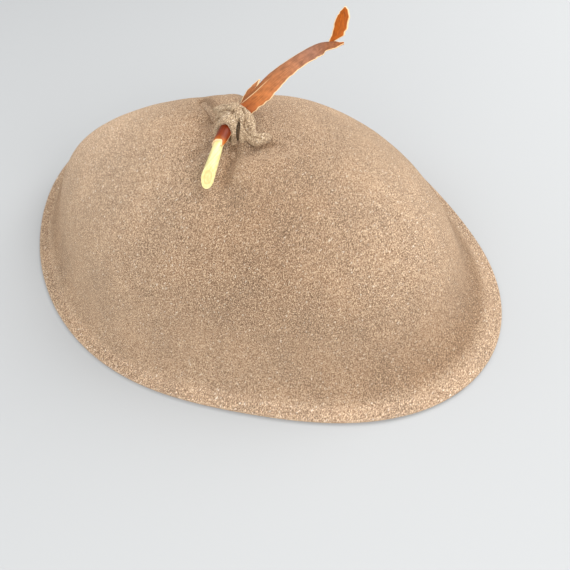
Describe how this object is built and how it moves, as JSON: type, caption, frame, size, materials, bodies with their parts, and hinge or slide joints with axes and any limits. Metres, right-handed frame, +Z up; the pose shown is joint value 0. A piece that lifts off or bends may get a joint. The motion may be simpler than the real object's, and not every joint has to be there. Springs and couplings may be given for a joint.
{
  "type": "felt hat",
  "caption": "Soft domed felt hat with a narrow brim, its crown knotted round a half-peeled twig whose bark curls up behind.",
  "frame": {"origin": "on the surface that the hat lies on, under the middle of its outline", "axes": "+X along the hat's length, -Y its front, where the twig's cut end points, +Z up"},
  "size_m": [0.2702, 0.2148, 0.1097],
  "materials": {
    "felt": "heathered taupe wool felt, matt with a short nap",
    "knot_felt": "the same felt, worn a little greyer",
    "peeled_wood": "fresh peeled twig wood, smooth and cream-yellow",
    "bark": "smooth reddish-brown bark with a soft gloss and pale torn edges"
  },
  "bodies": {
    "root": {"felt_crown": "felt", "felt_knot": "knot_felt", "twig_wood": "peeled_wood", "bark_strip": "bark"}
  },
  "joints": []
}
